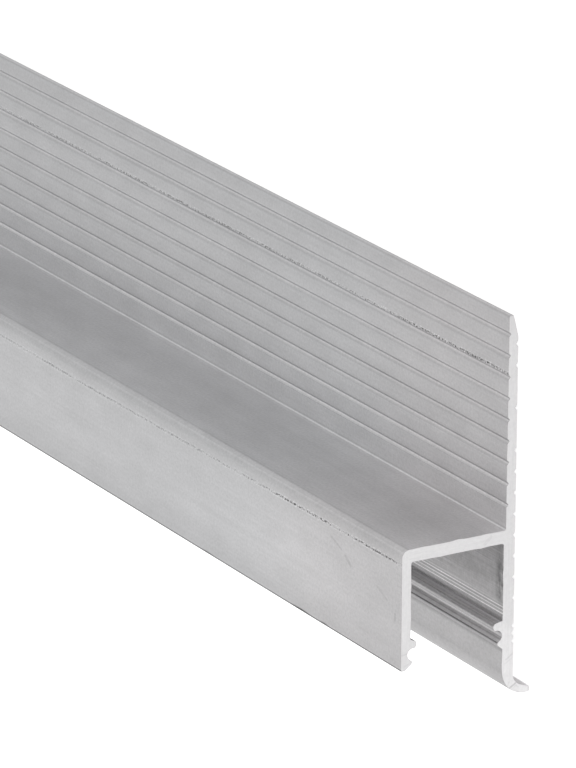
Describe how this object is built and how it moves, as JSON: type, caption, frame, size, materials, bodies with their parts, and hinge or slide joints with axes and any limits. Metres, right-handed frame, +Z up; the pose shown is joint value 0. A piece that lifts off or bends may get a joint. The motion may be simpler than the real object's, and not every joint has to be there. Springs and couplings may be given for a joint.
{
  "type": "aluminium extrusion profile",
  "caption": "Extruded aluminium edge profile: a tall grooved flange with a flat shelf, a channel with hooks for a clip-in cover, and a curved foot along the lower edge.",
  "frame": {"origin": "on the floor, under the middle of the bounding box, with the bar lying on its back", "axes": "+Y along the length, away from the end that the picture shows; +X from the foot towards the top edge of the grooved flange; +Z up, from the flange's back to the leg's front face"},
  "size_m": [0.0542, 1, 0.0204],
  "materials": {
    "mill_aluminium": "satin mill finish with fine lines along the length and a bright saw-cut end"
  },
  "bodies": {
    "root": {"aluminium_profile": "mill_aluminium"}
  },
  "joints": []
}
